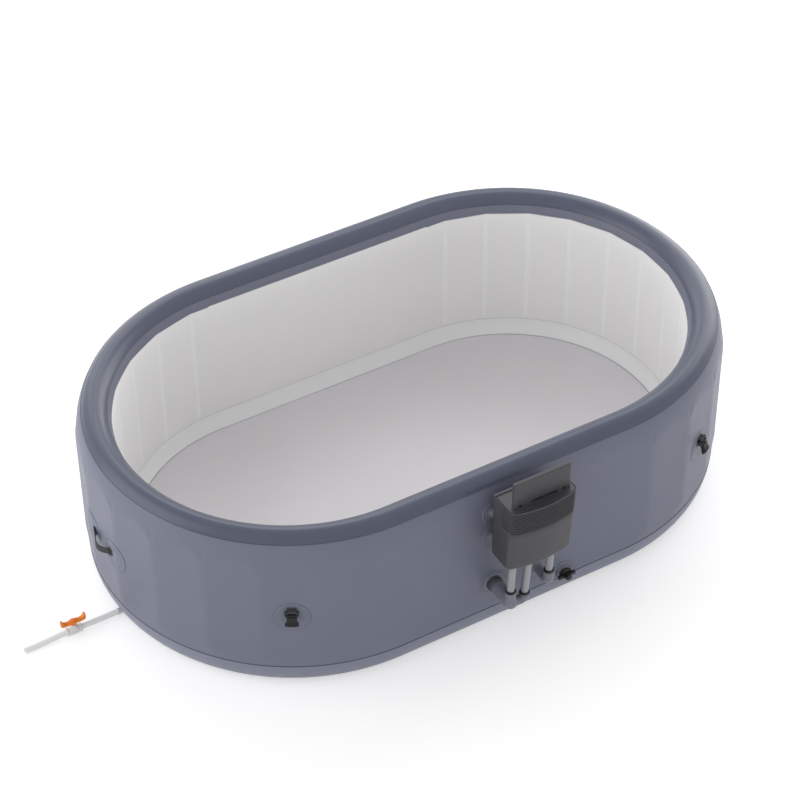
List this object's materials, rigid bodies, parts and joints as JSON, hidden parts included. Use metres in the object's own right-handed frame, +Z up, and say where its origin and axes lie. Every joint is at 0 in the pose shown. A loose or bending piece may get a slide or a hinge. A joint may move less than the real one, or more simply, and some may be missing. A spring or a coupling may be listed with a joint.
{
  "type": "inflatable hot tub",
  "caption": "Oval inflatable hot tub with an air-filled wall, a pale pool liner, a hanging pump and heater unit with a tilting panel, carry handles, buckles and a valved drain hose.",
  "frame": {"origin": "on the floor, at the middle of the tub", "axes": "+X along the tub, away from the drain; +Y across it, away from the pump unit; +Z up"},
  "size_m": [2.8906, 1.7657, 0.827],
  "materials": {
    "shell_slate": "satin welded PVC sheet",
    "crown_slate": "satin welded PVC sheet",
    "liner_pale": "satin welded PVC sheet",
    "weld_pale": "satin",
    "fitting_slate": "satin moulded",
    "black_plastic": "satin moulded",
    "webbing": "woven",
    "case_plastic": "fine matt texture",
    "hose_grey": "satin flexible hose",
    "key_grey": "matt",
    "fan_grey": "satin",
    "motor_metal": "brushed",
    "ball_metal": "polished",
    "valve_white": "satin moulded",
    "lever_orange": "satin moulded"
  },
  "bodies": {
    "tub": {"outer_skin": "shell_slate", "base_tray": "shell_slate", "buckle_tab_front_left": "shell_slate", "buckle_tab_front_right": "shell_slate", "buckle_tab_back_left": "shell_slate", "buckle_tab_back_right": "shell_slate", "handle_patch_left_near": "shell_slate", "handle_patch_left_far": "shell_slate", "handle_patch_right_near": "shell_slate", "handle_patch_right_far": "shell_slate", "top_roll": "crown_slate", "inner_band": "crown_slate", "inner_liner": "liner_pale", "floor_sheet": "liner_pale", "tie_web_left": "liner_pale", "tie_web_right": "liner_pale", "cove_strip": "weld_pale", "return_nozzle": "weld_pale", "drain_outlet": "weld_pale", "wall_flange_inlet": "fitting_slate", "wall_flange_return": "fitting_slate", "tee_elbow": "fitting_slate", "elbow_mid": "fitting_slate", "elbow_return": "fitting_slate", "air_union_upper": "fitting_slate", "air_union_lower": "fitting_slate", "air_valve_body": "fitting_slate", "hose_clamp_left": "black_plastic", "hose_clamp_mid": "black_plastic", "hose_clamp_right": "black_plastic", "blower_housing": "black_plastic", "handle_strap_left": "webbing", "handle_strap_right": "webbing", "case_front": "case_plastic", "case_rear": "case_plastic", "top_tray": "case_plastic", "vent_grille": "case_plastic", "hose_left": "hose_grey", "hose_mid": "hose_grey", "hose_right": "hose_grey", "drain_hose": "hose_grey", "tail_hose": "hose_grey", "pump_housing": "motor_metal", "heater_tube": "motor_metal", "valve_body": "valve_white"},
    "control_panel": {"control_panel": "case_plastic"},
    "key_heat": {"key_heat": "key_grey"},
    "key_power": {"key_power": "key_grey"},
    "key_bubbles": {"key_bubbles": "key_grey"},
    "buckle_front_left": {"buckle_front_left": "black_plastic"},
    "buckle_front_right": {"buckle_front_right": "black_plastic"},
    "buckle_back_left": {"buckle_back_left": "black_plastic"},
    "buckle_back_right": {"buckle_back_right": "black_plastic"},
    "drain_valve": {"valve_lever": "lever_orange", "valve_core": "ball_metal"},
    "impeller": {"pump_impeller": "black_plastic"},
    "fan": {"blower_fan": "fan_grey"},
    "union_nut": {"union_nut": "black_plastic"},
    "air_cap": {"air_valve_cap": "black_plastic"},
    "strainer": {"inlet_strainer": "weld_pale"}
  },
  "joints": [
    {"name": "panel_tilt", "type": "hinge", "parent": "tub", "child": "control_panel", "pos_m": [-0.008, -0.925, 0.722], "axis": [-1, 0, 0], "range_deg": [0, 65]},
    {"name": "key_heat_press", "type": "slide", "parent": "control_panel", "child": "key_heat", "axis": [0, -1, 0], "range_m": [0, 0.001], "stiffness_N_per_m": 200},
    {"name": "key_power_press", "type": "slide", "parent": "control_panel", "child": "key_power", "axis": [0, -1, 0], "range_m": [0, 0.001], "stiffness_N_per_m": 200},
    {"name": "key_bubbles_press", "type": "slide", "parent": "control_panel", "child": "key_bubbles", "axis": [0, -1, 0], "range_m": [0, 0.001], "stiffness_N_per_m": 200},
    {"name": "buckle_front_left_swing", "type": "hinge", "parent": "tub", "child": "buckle_front_left", "pos_m": [-0.86253, -0.69139, 0.393], "axis": [-0.866, 0.5, 0], "range_deg": [0, 60]},
    {"name": "buckle_front_right_swing", "type": "hinge", "parent": "tub", "child": "buckle_front_right", "pos_m": [0.86125, -0.69213, 0.393], "axis": [-0.866, -0.5, 0], "range_deg": [0, 60]},
    {"name": "buckle_back_left_swing", "type": "hinge", "parent": "tub", "child": "buckle_back_left", "pos_m": [-0.86125, 0.69213, 0.393], "axis": [0.866, 0.5, 0], "range_deg": [0, 60]},
    {"name": "buckle_back_right_swing", "type": "hinge", "parent": "tub", "child": "buckle_back_right", "pos_m": [0.86253, 0.69139, 0.393], "axis": [0.866, -0.5, 0], "range_deg": [0, 60]},
    {"name": "drain_valve_turn", "type": "hinge", "parent": "tub", "child": "drain_valve", "pos_m": [-1.417, -0.041, 0.017], "axis": [0, 0, 1], "range_deg": [0, 90]},
    {"name": "impeller_spin", "type": "hinge", "parent": "tub", "child": "impeller", "pos_m": [-0.095, -0.9, 0.45], "axis": [0, 0, 1], "continuous": true},
    {"name": "fan_spin", "type": "hinge", "parent": "tub", "child": "fan", "pos_m": [-0.033, -0.87, 0.6], "axis": [0, -1, 0], "continuous": true},
    {"name": "union_nut_turn", "type": "hinge", "parent": "tub", "child": "union_nut", "pos_m": [-0.104, -0.804, 0.23302], "axis": [0, -1, 0], "continuous": true},
    {"name": "air_cap_turn", "type": "hinge", "parent": "tub", "child": "air_cap", "pos_m": [0.198, -0.81, 0.131], "axis": [0, -1, 0], "range_deg": [0, 90]},
    {"name": "strainer_turn", "type": "hinge", "parent": "tub", "child": "strainer", "pos_m": [-0.104, -0.62, 0.23302], "axis": [0, 1, 0], "range_deg": [0, 45]}
  ]
}
